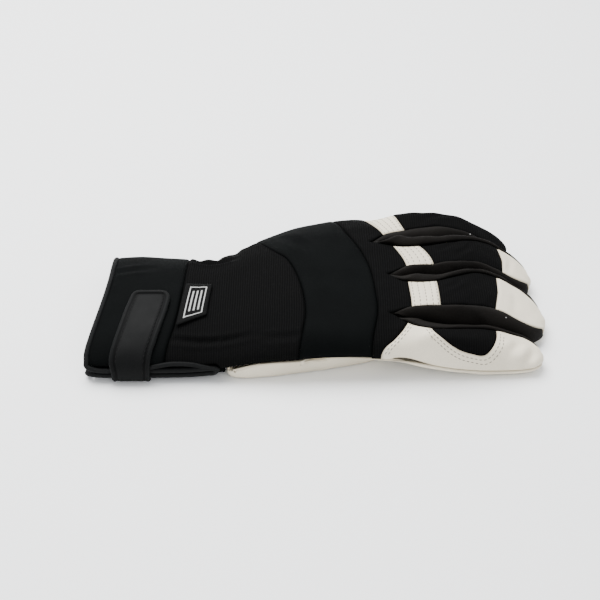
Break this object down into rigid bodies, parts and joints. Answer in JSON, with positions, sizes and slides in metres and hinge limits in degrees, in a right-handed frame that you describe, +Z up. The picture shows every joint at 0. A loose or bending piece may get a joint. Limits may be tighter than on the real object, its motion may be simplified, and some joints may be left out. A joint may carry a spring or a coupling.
{
  "type": "mechanic glove",
  "caption": "Left-hand mechanic glove in black stretch cloth with an off-white leather palm, index wrap, knuckle patches and fingertips, and a wrist strap.",
  "frame": {"origin": "middle of the glove's footprint, on the floor it lies on", "axes": "+X from the cuff to the fingertips, +Y from the index finger side to the little finger side, +Z up out of the back of the hand"},
  "size_m": [0.2354, 0.115, 0.032],
  "materials": {
    "neoprene": "smooth matte foam-backed stretch cloth, bluish black",
    "knit": "fine ribbed knit, matte black",
    "stretch": "smooth stretch cloth, brownish black",
    "leather": "soft off-white leather, fine grain, satin",
    "strap": "moulded dark grey rubber, matte"
  },
  "bodies": {
    "root": {"cuff": "neoprene", "knuckle_band": "neoprene", "wrist_back": "knit", "knuckle_knit": "knit", "finger_back_index": "knit", "finger_back_middle": "knit", "finger_back_ring": "knit", "finger_back_little": "knit", "label_patch": "knit", "fourchette_index_middle": "stretch", "fourchette_middle_ring": "stretch", "fourchette_ring_little": "stretch", "palm": "leather", "thumb": "leather", "index_wrap": "leather", "knuckle_patch_middle": "leather", "knuckle_patch_ring": "leather", "knuckle_patch_little": "leather", "fingertip_middle": "leather", "fingertip_ring": "leather", "closure_strap": "strap", "cuff_binding": "strap"}
  },
  "joints": []
}
